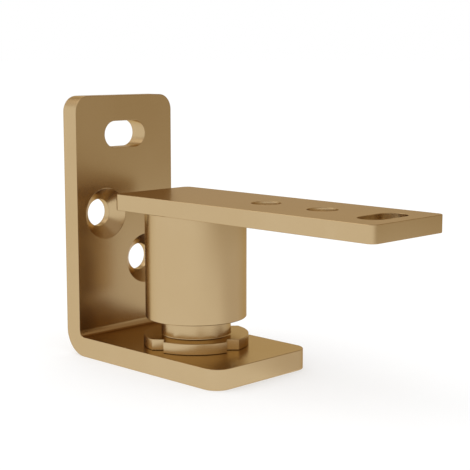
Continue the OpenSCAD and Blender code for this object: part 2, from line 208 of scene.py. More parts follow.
class Shader:
    """A node-based material, built with one generic method for its nodes."""

    def __init__(self, name: str) -> None:
        """Starts an empty material.

        Args:
            name: The material's name.
        """
        self.material = bpy.data.materials.new(name)
        self.material.use_nodes = True
        self.tree = self.material.node_tree
        self.tree.nodes.clear()
        self.place = self.node("ShaderNodeTexCoord", {}, {}, "Object")

    def node(self, kind: str, settings: Settings, inputs: Inputs, output: str | int = 0) -> Val:
        """Adds a node.

        Args:
            kind: The node's type.
            settings: Its properties.
            inputs: Values or links of its sockets, by name or number.
            output: The output to return, by name or number.

        Returns:
            The chosen output.
        """
        return Val(self, add_node(self.tree, kind, settings, inputs).outputs[output])

    def outputs(self, kind: str, inputs: Inputs, names: Iterable[str]) -> list[Val]:
        """Adds a node of which several outputs are used.

        Args:
            kind: The node's type.
            inputs: Values or links of its sockets.
            names: The outputs' names.

        Returns:
            The outputs, in the order of their names.
        """
        made = add_node(self.tree, kind, {}, inputs)
        return [Val(self, made.outputs[name]) for name in names]

    def stretched(self, scale: Point3) -> Val:
        """Object coordinates scaled along each axis."""
        return self.node("ShaderNodeMapping", {}, {"Vector": self.place, "Scale": scale})

    def noise(self, scale: float, detail: float = 3.0, rough: float = 0.5, where: Val | None = None) -> Val:
        """Fractal noise.

        Args:
            scale: Features per metre.
            detail: Octaves.
            rough: Share that each finer octave keeps.
            where: Coordinates to use in place of the object's own.

        Returns:
            A number around NOISE_MIDDLE.
        """
        inputs: Inputs = {"Vector": where or self.place, "Scale": scale, "Detail": detail, "Roughness": rough}
        return self.node("ShaderNodeTexNoise", {}, inputs, "Fac")

    def mix(self, share: Val | float, first: Val | Colour, second: Val | Colour) -> Val:
        """Mixes two colours.

        Args:
            share: 0 gives the first colour and 1 the second.
            first: A colour, or a Val that carries one.
            second: The other colour.

        Returns:
            The mixed colour.
        """
        ends = [value if isinstance(value, Val) else (*value, 1.0) for value in (first, second)]
        inputs: Inputs = {"Factor": share, MIX_FIRST: ends[0], MIX_SECOND: ends[1]}
        return self.node("ShaderNodeMix", {"data_type": "RGBA"}, inputs, MIX_RESULT)

    def bump(self, height: Val, depth: float, base: Val | None = None) -> Val:
        """Bump from a height field.

        Args:
            height: The relief, about 0 to 1.
            depth: Its real height.
            base: The normal to start from.

        Returns:
            The bumped normal.
        """
        inputs: Inputs = {"Height": height, "Strength": 1.0, "Distance": depth}
        if base:
            inputs["Normal"] = base
        return self.node("ShaderNodeBump", {}, inputs)

    def close(self, tone: Val, rough: Val, normal: Val, fixed: Settings) -> bpy.types.Material:
        """Ends the tree in one Principled shader.

        Args:
            tone: The base colour.
            rough: The roughness.
            normal: The bumped normal.
            fixed: Values that are the same all over the surface, by socket name.

        Returns:
            The finished material.
        """
        inputs: Inputs = {**fixed, "Base Color": tone, "Roughness": rough, "Normal": normal}
        return self.end(self.node("ShaderNodeBsdfPrincipled", {}, inputs))

    def end(self, surface: Val) -> bpy.types.Material:
        """Links a shader to the material's output.

        Args:
            surface: The shader.

        Returns:
            The finished material.
        """
        add_node(self.tree, "ShaderNodeOutputMaterial", {}, {"Surface": surface})
        return self.material


# ---------------------------------------------------------------- finishes


@dataclass(frozen=True)
class SatinPlating:
    """Satin champagne plating over fine-blasted steel, as on every piece that shows."""

    name: str = "satin_champagne"
    colour: Colour = (0.562, 0.419, 0.235)
    worn_colour: Colour = (0.580, 0.437, 0.252)
    deep_colour: Colour = (0.547, 0.403, 0.221)
    edge_tint: Colour = (0.73, 0.59, 0.40)
    roughness: float = 0.25
    cloud_scale: float = 45.0
    cloud_range: Point2 = (0.35, 0.68)
    cloud_rough: float = 0.06
    speck_scale: float = 5200.0
    speck_range: Point2 = (0.62, 0.80)
    speck_share: float = 0.18
    speck_rough: float = 0.05
    speck_depth: float = 0.0008 * MM
    rub_scale: float = 260.0
    rub_stretch: Point3 = (1.0, 1.0, 0.25)
    rub_range: Point2 = (0.56, 0.74)
    rub_share: float = 0.3
    rub_polish: float = 0.015
    grain_scale: float = 900.0
    grain_depth: float = 0.00096 * MM

    def material(self) -> bpy.types.Material:
        """Builds the finish: cloudy plating, a very fine blasted grain and faint rubbing marks.

        Returns:
            The finished material.
        """
        shader = Shader(self.name)
        cloud = shader.noise(self.cloud_scale, 3.0, 0.55)
        speck = shader.noise(self.speck_scale, 2.0, 0.6)
        rubbed = shader.noise(self.rub_scale, 4.0, 0.65, shader.stretched(self.rub_stretch))
        rubbed = rubbed.step(*self.rub_range)
        tone = shader.mix(cloud.step(*self.cloud_range), self.deep_colour, self.colour)
        tone = shader.mix(rubbed * self.rub_share, tone, self.worn_colour)
        tone = shader.mix(speck.step(*self.speck_range) * self.speck_share, tone, self.deep_colour)
        rough = self.roughness + (cloud - NOISE_MIDDLE) * self.cloud_rough - rubbed * self.rub_polish
        rough = rough + (speck - NOISE_MIDDLE) * self.speck_rough
        normal = shader.bump(speck, self.speck_depth)
        normal = shader.bump(shader.noise(self.grain_scale), self.grain_depth, normal)
        return shader.close(tone, rough, normal, {"Metallic": 1.0, "Specular Tint": (*self.edge_tint, 1.0)})


@dataclass(frozen=True)
class GroundSteel:
    """Bright ground steel of the bearing, rings and screws."""

    name: str = "ground_steel"
    colour: Colour = (0.56, 0.56, 0.57)
    dull_colour: Colour = (0.40, 0.39, 0.38)
    roughness: float = 0.26
    mark_scale: float = 900.0
    mark_stretch: Point3 = (0.15, 0.15, 6.0)
    mark_rough: float = 0.18
    mark_depth: float = 0.002 * MM
    film_scale: float = 300.0
    film_range: Point2 = (0.45, 0.7)
    film_share: float = 0.5
    film_rough: float = 0.10

    def material(self) -> bpy.types.Material:
        """Builds the finish: turning marks along Z and a thin film of grease in patches.

        Returns:
            The finished material.
        """
        shader = Shader(self.name)
        marks = shader.noise(self.mark_scale, 3.0, 0.6, shader.stretched(self.mark_stretch))
        film = shader.noise(self.film_scale).step(*self.film_range)
        tone = shader.mix(film * self.film_share, self.colour, self.dull_colour)
        rough = self.roughness + (marks - NOISE_MIDDLE) * self.mark_rough + film * self.film_rough
        return shader.close(tone, rough, shader.bump(marks, self.mark_depth), {"Metallic": 1.0})


@dataclass(frozen=True)
class SinteredBronze:
    """Porous, oil-filled bronze of the bushes and the ball cage."""

    name: str = "sintered_bronze"
    colour: Colour = (0.46, 0.25, 0.10)
    pore_colour: Colour = (0.12, 0.06, 0.025)
    roughness: float = 0.42
    pore_scale: float = 4200.0
    pore_range: Point2 = (0.60, 0.72)
    pore_rough: float = 0.3
    pore_depth: float = 0.006 * MM

    def material(self) -> bpy.types.Material:
        """Builds the finish: dark open pores in a matt bronze.

        Returns:
            The finished material.
        """
        shader = Shader(self.name)
        pores = shader.noise(self.pore_scale, 3.0, 0.7).step(*self.pore_range)
        tone = shader.mix(pores, self.colour, self.pore_colour)
        rough = self.roughness + pores * self.pore_rough
        return shader.close(tone, rough, shader.bump(1.0 - pores, self.pore_depth), {"Metallic": 1.0})


@dataclass(frozen=True)
class MouldedPolymer:
    """Nylon and rubber: one moulded surface with its own colour and gloss."""

    name: str
    colour: Colour
    roughness: float
    skin_scale: float = 2600.0
    skin_rough: float = 0.2
    skin_depth: float = 0.008 * MM
    shade: float = 0.75
    shade_scale: float = 700.0
    shade_range: Point2 = (0.4, 0.7)

    def material(self) -> bpy.types.Material:
        """Builds the finish: a faintly uneven moulded skin.

        Returns:
            The finished material.
        """
        shader = Shader(self.name)
        skin = shader.noise(self.skin_scale)
        shaded = tuple(self.shade * channel for channel in self.colour)
        tone = shader.mix(shader.noise(self.shade_scale).step(*self.shade_range), self.colour, shaded)
        rough = self.roughness + (skin - NOISE_MIDDLE) * self.skin_rough
        return shader.close(tone, rough, shader.bump(skin, self.skin_depth), {})


@dataclass
class Palette:
    """The finishes of the hinge, one for each material slot."""

    materials: dict[Slot, bpy.types.Material] = field(init=False)

    def __post_init__(self) -> None:
        """Builds every finish once."""
        finishes = {
            Slot.CHAMPAGNE: SatinPlating(),
            Slot.STEEL: GroundSteel(),
            Slot.BRONZE: SinteredBronze(),
            Slot.NYLON: MouldedPolymer("natural_nylon", (0.78, 0.76, 0.68), 0.45),
            Slot.RUBBER: MouldedPolymer("seal_rubber", (0.022, 0.022, 0.024), 0.55),
        }
        self.materials = {slot: finish.material() for slot, finish in finishes.items()}

    def dress(self, piece: bpy.types.Object, slot: Slot) -> None:
        """Gives a piece the finish of a slot.

        Args:
            piece: The piece.
            slot: The record's material slot.
        """
        piece.data.materials.clear()
        piece.data.materials.append(self.materials[slot])


# ---------------------------------------------------------------- outlines and shells


@dataclass(frozen=True)
class RoundedRect:
    """A rectangle with round corners: also a circle, or a slot with round ends."""

    half_x: float
    half_y: float
    corner: float
    centre: Point2
    arc_steps: int = 12
    least_radius: float = 0.001 * MM

    @classmethod
    def circle(cls, radius: float, centre: Point2, arc_steps: int = 16) -> "RoundedRect":
        """A circle.

        Args:
            radius: Its radius.
            centre: Its middle.
            arc_steps: Steps in each quarter.

        Returns:
            The outline.
        """
        return cls(radius, radius, radius, centre, arc_steps)

    def loop(self, shrink: float) -> list[Point2]:
        """The outline moved inwards.

        Args:
            shrink: How far inwards. A negative number widens the outline.

        Returns:
            Points in order, anticlockwise, as many for each shrink.
        """
        radius = max(self.corner - shrink, self.least_radius)
        points = []
        for quarter, (sx, sy) in enumerate(((1, 1), (-1, 1), (-1, -1), (1, -1))):
            cx = self.centre[0] + sx * (self.half_x - self.corner)
            cy = self.centre[1] + sy * (self.half_y - self.corner)
            for step in range(self.arc_steps + 1):
                angle = math.pi / 2 * (quarter + step / self.arc_steps)
                points.append((cx + radius * math.cos(angle), cy + radius * math.sin(angle)))
        return points


@dataclass(frozen=True)
class NotchedRound:
    """A round flange with right-angled notches cut into its rim."""

    radius: float
    notch_depth: float
    notches: int
    arc_steps: int = 20

    def loop(self, shrink: float) -> list[Point2]:
        """The outline moved inwards.

        Args:
            shrink: How far inwards.

        Returns:
            Points in order, anticlockwise.
        """
        radius = self.radius - shrink
        root = self.radius - self.notch_depth - shrink * math.sqrt(2.0)
        run = (math.sqrt(2 * radius * radius - root * root) - root) / 2
        edge = math.atan2(run, root + run)
        sweep = 2 * math.pi / self.notches - 2 * edge
        points = []
        for notch in range(self.notches):
            start = 2 * math.pi * notch / self.notches
            points.append((root * math.cos(start), root * math.sin(start)))
            for step in range(self.arc_steps + 1):
                angle = start + edge + sweep * step / self.arc_steps
                points.append((radius * math.cos(angle), radius * math.sin(angle)))
        return points


def edge_round(radius: float, steps: int) -> list[Point2]:
    """A quarter round from a flat face to the side.

    Args:
        radius: The edge's radius.
        steps: Steps in the quarter.

    Returns:
        Pairs of distance from the side and depth below the face.
    """
    angles = [math.pi / 2 * step / steps for step in range(steps + 1)]
    return [(radius * (1 - math.sin(a)), radius * (1 - math.cos(a))) for a in angles]


def circle_loop(radius: float, z: float, steps: int, centre: Point2 = (0.0, 0.0)) -> Loop:
    """A level circle.

    Args:
        radius: Its radius. At 0 its points fall together.
        z: Its height.
        steps: The number of points.
        centre: Its middle.

    Returns:
        The points, anticlockwise.
    """
    angles = (2 * math.pi * step / steps for step in range(steps))
    return [Vector((centre[0] + radius * math.cos(a), centre[1] + radius * math.sin(a), z)) for a in angles]


def rounded_profile(corners: Sequence[Point3], steps: int) -> list[Point2]:
    """Rounds the corners of a closed section.

    Args:
        corners: Radius, height and corner rounding, in order round the section.
        steps: Steps in each rounded corner.

    Returns:
        Pairs of radius and height.
    """
    points: list[Point2] = []
    for i, (x, z, rounding) in enumerate(corners):
        if rounding <= 0:
            points.append((x, z))
            continue
        here = Vector((x, z))
        before = (Vector(corners[i - 1][:2]) - here).normalized()
        after = (Vector(corners[(i + 1) % len(corners)][:2]) - here).normalized()
        half = before.angle(after) / 2
        reach = rounding / math.tan(half)
        middle = here + (before + after).normalized() * rounding / math.sin(half)
        start, end = here + before * reach - middle, here + after * reach - middle
        for step in range(steps + 1):
            points.append(tuple(middle + start.slerp(end, step / steps).normalized() * rounding))
    return points


@dataclass(frozen=True)
class Shell:
    """A plate between two flat faces with rounded edges."""

    top_z: float
    bottom_z: float
    edge: float
    edge_steps: int = 4

    def sides(self) -> list[Point2]:
        """A plain side with both its edges rounded.

        Returns:
            Pairs of inset and height, from the top face down.
        """
        quarter = edge_round(self.edge, self.edge_steps)
        down = [(inset, self.top_z - depth) for inset, depth in quarter]
        return down + [(inset, self.bottom_z + depth) for inset, depth in reversed(quarter)]

    def outer_levels(self, outline: Outline) -> list[Loop]:
        """Levels of the outer side, from the top face to the bottom face.

        Args:
            outline: Gives the outline moved inwards by a distance.

        Returns:
            One loop of points for each level.
        """
        return [[Vector((x, y, z)) for x, y in outline(inset)] for inset, z in self.sides()]

    def hole_levels(self, outline: Outline, profile: Sequence[Point2] | None = None) -> list[Loop]:
        """Levels of a hole's wall, from the top face to the bottom face.

        Args:
            outline: Gives the hole's outline moved inwards by a distance.
            profile: Pairs of widening and height for a wall that isn't plain.

        Returns:
            One loop of points for each level.
        """
        return [[Vector((x, y, z)) for x, y in outline(-widen)] for widen, z in profile or self.sides()]


def skin_levels(bm: bmesh.types.BMesh, levels: list[Loop]) -> None:
    """Adds the wall between neighbouring loops.

    Args:
        bm: The mesh.
        levels: Loops with as many points each.
    """
    rings = [[bm.verts.new(point) for point in level] for level in levels]
    count = len(rings[0])
    for upper, lower in zip(rings, rings[1:]):
        for i in range(count):
            j = (i + 1) % count
            bm.faces.new((upper[i], lower[i], lower[j], upper[j]))


def closed_mesh(outer: list[Loop], holes: Sequence[list[Loop]]) -> bmesh.types.BMesh:
    """Joins the levels of a plate and its holes into one closed mesh.

    Args:
        outer: Levels of the outer side, from top to bottom.
        holes: Levels of each hole, from top to bottom.

    Returns:
        The mesh, with its faces outwards.
    """
    bm = bmesh.new()
    for levels in (outer, *holes):
        skin_levels(bm, levels)
    bmesh.ops.remove_doubles(bm, verts=bm.verts, dist=WELD)
    middle = (outer[0][0].z + outer[-1][0].z) / 2
    rims = [edge for edge in bm.edges if edge.is_boundary]
    for above in (True, False):
        rim = [edge for edge in rims if (edge.verts[0].co.z > middle) == above]
        bmesh.ops.triangle_fill(bm, edges=rim, use_beauty=True, use_dissolve=False)
    for edge in rims:
        edge.smooth = False
    bmesh.ops.recalc_face_normals(bm, faces=bm.faces)
    return bm


# ---------------------------------------------------------------- objects


def add_object(name: str, data: bpy.types.ID) -> bpy.types.Object:
    """Adds an object to the scene.

    Args:
        name: Its name.
        data: Its mesh, lamp or camera.

    Returns:
        The object, at the origin.
    """
    made = bpy.data.objects.new(name, data)
    bpy.context.scene.collection.objects.link(made)
    return made


def mesh_object(name: str, bm: bmesh.types.BMesh) -> bpy.types.Object:
    """Makes an object of a mesh.

    Args:
        name: The piece's name.
        bm: The mesh, which is freed.

    Returns:
        The object, at the origin.
    """
    mesh = bpy.data.meshes.new(name)
    bm.to_mesh(mesh)
    bm.free()
    return add_object(name, mesh)


def smooth_object(name: str, bm: bmesh.types.BMesh) -> bpy.types.Object:
    """Makes an object of a mesh, smooth but for its sharp edges.

    Args:
        name: The piece's name.
        bm: The mesh, which is freed.

    Returns:
        The object, at the origin.
    """
    bmesh.ops.remove_doubles(bm, verts=bm.verts, dist=FINE_WELD)
    for edge in bm.edges:
        gentle = len(edge.link_faces) != 2 or edge.calc_face_angle(0.0) < SHARP_ANGLE
        edge.smooth = edge.smooth and gentle
    for face in bm.faces:
        face.smooth = True
    made = mesh_object(name, bm)
    made.modifiers.new("flat_faces_stay_flat", "WEIGHTED_NORMAL").keep_sharp = True
    return freeze(made)


def freeze(made: bpy.types.Object) -> bpy.types.Object:
    """Applies an object's modifiers into a plain mesh.

    Args:
        made: The object.

    Returns:
        The same object, without modifiers.
    """
    graph = bpy.context.evaluated_depsgraph_get()
    result = made.evaluated_get(graph)
    mesh = bpy.data.meshes.new_from_object(result, preserve_all_data_layers=True, depsgraph=graph)
    old = made.data
    made.modifiers.clear()
    made.data = mesh
    mesh.name = made.name
    bpy.data.meshes.remove(old)
    return made


class GeoTree:
    """A Geometry Nodes tree with named inputs, built with one generic method for its nodes."""

    def __init__(self, name: str, sizes: dict[str, float | int]) -> None:
        """Starts a tree.

        Args:
            name: The tree's name.
            sizes: Its named inputs: whole numbers become Int sockets and the others Float sockets.
        """
        self.group = bpy.data.node_groups.new(name, "GeometryNodeTree")
        self.sizes = sizes
        self.identifiers: dict[str, str] = {}
        sockets = self.group.interface
        sockets.new_socket("Geometry", in_out="INPUT", socket_type="NodeSocketGeometry")
        for label, value in sizes.items():
            kind = "NodeSocketInt" if isinstance(value, int) else "NodeSocketFloat"
            self.identifiers[label] = sockets.new_socket(label, in_out="INPUT", socket_type=kind).identifier
        sockets.new_socket("Geometry", in_out="OUTPUT", socket_type="NodeSocketGeometry")
        self.entry = self.group.nodes.new("NodeGroupInput")

    def size(self, label: str) -> bpy.types.NodeSocket:
        """A named input's socket."""
        return self.entry.outputs[label]

    def node(self, kind: str, settings: Settings, inputs: Inputs) -> bpy.types.NodeSocket:
        """Adds a node.

        Args:
            kind: The node's type.
            settings: Its properties.
            inputs: Values or linked sockets, by socket name or number.

        Returns:
            Its first output.
        """
        return add_node(self.group, kind, settings, inputs).outputs[0]

    def maths(self, operation: str, first: object, second: object) -> bpy.types.NodeSocket:
        """One Math node's result."""
        return self.node("ShaderNodeMath", {"operation": operation}, {0: first, 1: second})

    def lifted(self, geometry: bpy.types.NodeSocket) -> bpy.types.NodeSocket:
        """Geometry raised by the tree's Height."""
        lift = self.node("ShaderNodeCombineXYZ", {}, {"Z": self.size("Height")})
        return self.node("GeometryNodeSetPosition", {}, {"Geometry": geometry, "Offset": lift})

    def grow(self, name: str, made: bpy.types.NodeSocket, finish: bpy.types.Material) -> bpy.types.Object:
        """Ends the tree, runs it on a new object and keeps the result as a plain mesh.

        Args:
            name: The piece's name.
            made: The geometry that the tree has made.
            finish: Its material.

        Returns:
            The object, at the origin and without modifiers.
        """
        real = self.node("GeometryNodeRealizeInstances", {}, {"Geometry": made})
        dressed = self.node("GeometryNodeSetMaterial", {}, {"Geometry": real, "Material": finish})
        add_node(self.group, "NodeGroupOutput", {}, {0: dressed})
        piece = add_object(name, bpy.data.meshes.new(name))
        modifier = piece.modifiers.new("grow", "NODES")
        modifier.node_group = self.group
        for label, identifier in self.identifiers.items():
            modifier[identifier] = self.sizes[label]
        return freeze(piece)


# ---------------------------------------------------------------- sub-assemblies


@dataclass(frozen=True)
class MountHoles:
    """The countersunk screw holes and the slot, alike in wall plate and strap."""

    radius: float = 3.5 * MM
    sink_radius: float = 6.5 * MM
    slot_half: Point2 = (3.4 * MM, 6.7 * MM)
    edge: float = 0.112 * MM
    edge_steps: int = 3

    @property
    def sink(self) -> float:
        """The countersink's depth, as its cone stands at 90 degrees."""
        return self.sink_radius - self.radius

    def rim(self) -> list[Point2]:
        """Inset and depth of a plain rim's rounding."""
        return edge_round(self.edge, self.edge_steps)

    def slot_levels(self, top_z: float, bottom_z: float, centre: Point2) -> list[Loop]:
        """Levels of the slot.

        Args:
            top_z: The plate's upper face.
            bottom_z: The plate's lower face.
            centre: The slot's middle.

        Returns:
            One loop of points for each level.
        """
        half_x, half_y = self.slot_half
        slot = RoundedRect(half_x, half_y, half_x, centre)
        return Shell(top_z, bottom_z, self.edge, self.edge_steps).hole_levels(slot.loop)


@dataclass
class WallBracket:
    """The folded strip: wall plate, fold and leg."""

    width: float = 32 * MM
    thickness: float = 5 * MM
    fold_inner: float = 1.6 * MM
    fold_steps: int = 14
    corner: float = 4 * MM
    edge: float = 0.16 * MM
    mounts: MountHoles = MountHoles()
    screws: tuple[Point2, ...] = ((-6.7 * MM, 35.7 * MM), (6.7 * MM, 22.7 * MM))
    sink_lip: float = 0.05 * MM
    sink_root: float = 0.04 * MM
    slot_z: float = 55.8 * MM
    foot_radius: float = 5 * MM
    foot_half_flats: float = 4 * MM
    foot_steps: int = 96
    recess_radius: float = 6.6 * MM
    recess_ceiling: float = 3.35 * MM
    recess_edge: float = 0.3 * MM
    lock_radius: float = 1.52 * MM
    lock_steps: int = 8
    lock_edge: float = 0.15 * MM
    lock_edge_steps: int = 2
    cut_tolerance: float = 0.00001 * MM
    wall_x: float = field(init=False)
    front_x: float = field(init=False)
    height: float = field(init=False)
    fold_outer: float = field(init=False)
    leg_run: float = field(init=False)
    fold_run: float = field(init=False)

    def __post_init__(self) -> None:
        """Takes the strip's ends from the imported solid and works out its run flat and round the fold."""
        low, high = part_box("wall_bracket")
        self.wall_x, self.front_x, self.height = low.x, high.x, high.z
        self.fold_outer = self.fold_inner + self.thickness
        self.leg_run = self.front_x - self.wall_x - self.fold_outer
        self.fold_run = math.pi / 2 * (self.fold_inner + self.thickness / 2)

    def along(self, z: float) -> float:
        """Place along the unfolded strip of a height on the wall plate."""
        return self.leg_run + self.fold_run + z - self.fold_outer

    def folded(self, flat: Vector) -> Vector:
        """Folds a point of the flat strip.

        Args:
            flat: Distance along the strip from its front end, place across it, height over its outer face.

        Returns:
            The point on the folded bracket.
        """
        along, across, depth = flat
        turn = min(max((along - self.leg_run) / self.fold_run, 0.0), 1.0) * math.pi / 2
        radius = self.fold_outer - depth
        x = self.wall_x + self.fold_outer - radius * math.sin(turn)
        z = self.fold_outer - radius * math.cos(turn)
        x += max(self.leg_run - along, 0.0)
        z += max(along - self.leg_run - self.fold_run, 0.0)
        return Vector((x, across, z))

    def screw_hole_profile(self) -> list[Point2]:
        """A countersunk hole's wall: two short steps round its lip, and one its cone's end.

        Returns:
            Pairs of widening and height, from the inner face down.
        """
        sink, lip, root, top = self.mounts.sink, self.sink_lip, self.sink_root, self.thickness
        rim = [(sink + lip, top), (sink, top - 0.4 * lip), (sink - lip, top - 1.2 * lip)]
        cone_end = [(1.5 * root, top - sink + root), (0.0, top - sink - root)]
        return rim + cone_end + list(reversed(self.mounts.rim()))

    def foot_levels(self) -> list[Loop]:
        """The foot's keyed hole and the recess below it.

        Returns:
            One loop of points for each level.
        """
        ceiling, edge, wide = self.recess_ceiling, self.recess_edge, self.recess_radius
        keyed = [(self.foot_radius, z, self.foot_half_flats) for z in (self.thickness, ceiling)]
        recess = [(radius, z, radius) for radius, z in ((wide, ceiling), (wide, edge), (wide + edge, 0.0))]
        return [
            [
                Vector((self.front_x - point.x, max(-limit, min(limit, point.y)), z))
                for point in circle_loop(radius, z, self.foot_steps)
            ]
            for radius, z, limit in keyed + recess
        ]

    def lock_levels(self) -> list[Loop]:
        """The lock screw's hole.

        Returns:
            One loop of points for each level.
        """
        low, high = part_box("lock_screw")
        place = (self.front_x - (low.x + high.x) / 2, (low.y + high.y) / 2)
        lock = RoundedRect.circle(self.lock_radius, place, self.lock_steps)
        return Shell(self.thickness, 0.0, self.lock_edge, self.lock_edge_steps).hole_levels(lock.loop)

    def flat_strip(self) -> bmesh.types.BMesh:
        """The strip with its holes, before it is folded.

        Returns:
            The strip's closed mesh, its outer face down.
        """
        shell = Shell(self.thickness, 0.0, self.edge)
        middle = self.along(self.height) / 2
        strip = RoundedRect(middle, self.width / 2, self.corner, (middle, 0.0))
        holes = []
        for across, z in self.screws:
            hole = RoundedRect.circle(self.mounts.radius, (self.along(z), across))
            holes.append(shell.hole_levels(hole.loop, self.screw_hole_profile()))
        holes.append(self.mounts.slot_levels(self.thickness, 0.0, (self.along(self.slot_z), 0.0)))
        holes += [self.foot_levels(), self.lock_levels()]
        return closed_mesh(shell.outer_levels(strip.loop), holes)

    def build(self) -> bpy.types.Object:
        """Cuts the strip's faces across the fold and folds it.

        Returns:
            The bracket.
        """
        bm = self.flat_strip()
        for step in range(self.fold_steps + 1):
            cut = (self.leg_run + self.fold_run * step / self.fold_steps, 0, 0)
            everything = bm.verts[:] + bm.edges[:] + bm.faces[:]
            tolerance = self.cut_tolerance
            bmesh.ops.bisect_plane(bm, geom=everything, dist=tolerance, plane_co=cut, plane_no=(1, 0, 0))
        for vertex in bm.verts:
            vertex.co = self.folded(vertex.co)
        bmesh.ops.recalc_face_normals(bm, faces=bm.faces)
        return smooth_object("folded_bracket", bm)


@dataclass(frozen=True)
class ScrewRing:
    """The places of the screws that hold the strap to the barrel's roof."""

    count: int = 3
    circle: float = 4.6 * MM
    hole: float = 1.55 * MM
    head: float = 2.85 * MM
    thread: float = 1.52 * MM
    thread_top: float = 41.05 * MM
    steps: int = 36

    def bored(self, wall: Sequence[Point2]) -> list[list[Loop]]:
        """One hole at each screw.

        Args:
            wall: Pairs of radius and height, from the top down.

        Returns:
            The levels of each hole.
        """
        angles = (2 * math.pi * i / self.count for i in range(self.count))
        places = [(self.circle * math.cos(a), self.circle * math.sin(a)) for a in angles]
        return [[circle_loop(radius, z, self.steps, place) for radius, z in wall] for place in places]

    def through(self, top_z: float, bottom_z: float) -> list[list[Loop]]:
        """Holes through the barrel's roof, countersunk from inside.

        Args:
            top_z: The roof's top.
            bottom_z: The roof's underside.

        Returns:
            The levels of each hole.
        """
        sink_z = bottom_z + self.head - self.hole
        return self.bored(((self.hole, top_z), (self.hole, sink_z), (self.head, bottom_z)))

    def blind(self, bottom_z: float) -> list[list[Loop]]:
        """Blind holes up into the strap.

        Args:
            bottom_z: The strap's underside.

        Returns:
            The levels of each hole.
        """
        return self.bored(((0.0, self.thread_top), (self.thread, self.thread_top), (self.thread, bottom_z)))


@dataclass
class DoorStrap:
    """The flat strap that carries the door."""

    corner: float = 1.8 * MM
    corner_steps: int = 8
    edge: float = 0.14 * MM
    mounts: MountHoles = MountHoles()
    holes_x: tuple[float, ...] = (23.6 * MM, 40.6 * MM)
    sink_lip: float = 0.10 * MM
    slot_x: float = 57.3 * MM
    screws: ScrewRing = ScrewRing()

    def build(self) -> bpy.types.Object:
        """Makes the strap with its holes, countersunk from below, and its slot.

        Returns:
            The strap.
        """
        low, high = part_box("door_strap")
        shell = Shell(high.z, low.z, self.edge)
        middle = ((low.x + high.x) / 2, 0.0)
        outline = RoundedRect((high.x - low.x) / 2, high.y, self.corner, middle, self.corner_steps)
        sink, lip = self.mounts.sink, self.sink_lip
        wall = [(widen, high.z - depth) for widen, depth in self.mounts.rim()]
        wall += [(0.0, low.z + sink), (sink - 0.6 * lip, low.z + lip), (sink + lip, low.z)]
        holes = self.screws.blind(low.z)
        for x in self.holes_x:
            hole = RoundedRect.circle(self.mounts.radius, (x, 0.0))
            holes.append(shell.hole_levels(hole.loop, wall))
        holes.append(self.mounts.slot_levels(high.z, low.z, (self.slot_x, 0.0)))
        return smooth_object("strap_plate", closed_mesh(shell.outer_levels(outline.loop), holes))


@dataclass
class Barrel:
    """The round case that turns on the spindle."""

    bore: float = 10.6 * MM
    upper_bore: float = 7.92 * MM
    step_z: float = 25.65 * MM
    roof_z: float = 34.8 * MM
    groove: float = 11.1 * MM
    groove_z: Point2 = (12.75 * MM, 13.75 * MM)
    top_edge: float = 0.05 * MM
    mouth_round: float = 0.2 * MM
    bore_round: float = 0.12 * MM
    round_steps: int = 4
    steps: int = 160
    screws: ScrewRing = ScrewRing()

    def build(self) -> bpy.types.Object:
        """Makes the barrel with its bores, the snap ring's groove and the roof's screw holes.

        Returns:
            The barrel.
        """
        low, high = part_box("barrel")
        groove_low, groove_high = self.groove_z
        section = [
            (high.x - self.top_edge, high.z, 0.0),
            (high.x, high.z - self.top_edge, 0.0),
            (high.x, low.z, self.mouth_round),
            (self.bore, low.z, self.bore_round),
            (self.bore, groove_low, 0.0),
            (self.groove, groove_low, 0.0),
            (self.groove, groove_high, 0.0),
            (self.bore, groove_high, 0.0),
            (self.bore, self.step_z, 0.0),
            (self.upper_bore, self.step_z, 0.0),
            (self.upper_bore, self.roof_z, 0.0),
        ]
        wall = rounded_profile(section, self.round_steps)
        levels = [circle_loop(radius, z, self.steps) for radius, z in wall]
        return smooth_object("barrel_case", closed_mesh(levels, self.screws.through(high.z, self.roof_z)))


@dataclass
class NotchedCollar:
    """The adjusting nut: a flange with spanner notches, and the hub that shows as the neck."""

    rim: float = 13 * MM
    notch_depth: float = 2.2 * MM
    notches: int = 4
    flange_top: float = 7.7 * MM
    edge: float = 0.14 * MM
    edge_steps: int = 3
    hub: float = 8.6 * MM
    hub_chamfer: float = 0.3 * MM
    root_round: float = 0.25 * MM
    root_steps: int = 4
    ring_seat: Point2 = (7.27 * MM, 17.55 * MM)
    bore: float = 6.05 * MM
    washer_recess: Point2 = (9.35 * MM, 5.65 * MM)
    steps: int = 144

    def build(self) -> bpy.types.Object:
        """Makes the collar as one closed turned and milled form.

        Returns:
            The collar.
        """
        low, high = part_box("notched_collar")
        shell = Shell(self.flange_top, low.z, self.edge, self.edge_steps)
        flange = NotchedRound(self.rim, self.notch_depth, self.notches)
        root = edge_round(self.root_round, self.root_steps)
        seat_radius, seat_z = self.ring_seat
        recess_radius, recess_z = self.washer_recess
        wall = [(self.hub + inset, self.flange_top + rise) for inset, rise in root] + [
            (self.hub, high.z - self.hub_chamfer),
            (self.hub - self.hub_chamfer, high.z),
            (seat_radius, high.z),
            (seat_radius, seat_z),
            (self.bore, seat_z),
            (self.bore, recess_z),
            (recess_radius, recess_z),
            (recess_radius, low.z),
        ]
        levels = [circle_loop(radius, z, self.steps) for radius, z in wall]
        return smooth_object("spanner_collar", closed_mesh(shell.outer_levels(flange.loop), [levels]))


